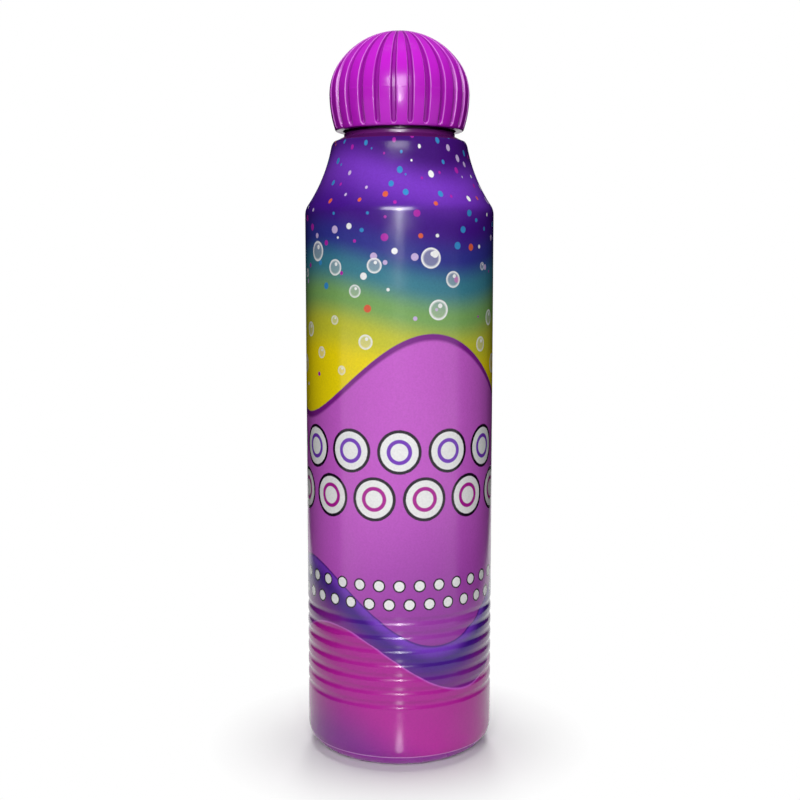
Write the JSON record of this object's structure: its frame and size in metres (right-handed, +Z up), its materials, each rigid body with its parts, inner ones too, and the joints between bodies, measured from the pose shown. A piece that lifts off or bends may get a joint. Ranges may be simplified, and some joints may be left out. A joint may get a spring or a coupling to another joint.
{
  "type": "bingo dauber",
  "caption": "Hand-held ink dauber: a slim printed squeeze bottle with grip rings, a spring-valved sponge tip in its neck, and a fluted dome screw cap over the tip.",
  "frame": {"origin": "on the axis of the bottle, on the surface that it stands on", "axes": "+Z up along the bottle's axis, -Y towards the viewer of the picture, +X to the viewer's right"},
  "size_m": [0.038, 0.038, 0.1452],
  "materials": {
    "hdpe_purple": "blow-moulded purple polyethylene, soft gloss",
    "printed_film": "reverse-printed glossy shrink film",
    "ink": "water-based dye ink",
    "fitment_white": "natural polyethylene, satin",
    "spring_steel": "drawn stainless wire",
    "valve_ivory": "moulded acetal, satin",
    "sponge": "open-cell sponge, stained by ink",
    "tip_cover": "fine woven nylon, stained by ink",
    "collar_white": "moulded polypropylene",
    "seal_soft": "soft elastomer, matt",
    "cap_magenta": "injection-moulded magenta polypropylene, gloss"
  },
  "bodies": {
    "bottle": {"bottle": "hdpe_purple", "shrink_sleeve": "printed_film", "ink_charge": "ink", "applicator_housing": "fitment_white", "valve_cage": "fitment_white", "valve_spring": "spring_steel", "foam_tip": "sponge", "tip_fabric": "tip_cover", "retaining_collar": "collar_white"},
    "valve": {"valve_poppet": "valve_ivory"},
    "cap_seal": {"cap_seal_ring": "seal_soft"},
    "cap": {"cap_shell": "cap_magenta"}
  },
  "joints": [
    {"name": "cap_rise", "type": "slide", "parent": "bottle", "child": "cap_seal", "axis": [0, 0, 1], "range_m": [0, 0.0192]},
    {"name": "cap_turn", "type": "hinge", "parent": "cap_seal", "child": "cap", "pos_m": [0, 0, 0.1256], "axis": [0, 0, 1], "range_deg": [0, 2160]},
    {"name": "tip_press", "type": "slide", "parent": "bottle", "child": "valve", "axis": [0, 0, -1], "range_m": [0, 0.0016], "stiffness_N_per_m": 300, "springref_m": -0.002, "deforming": ["valve_spring", "foam_tip", "tip_fabric"]}
  ],
  "couplings": [
    {"joint": "cap_rise", "follows": "cap_turn", "m_per_rad": 0.0005093}
  ]
}
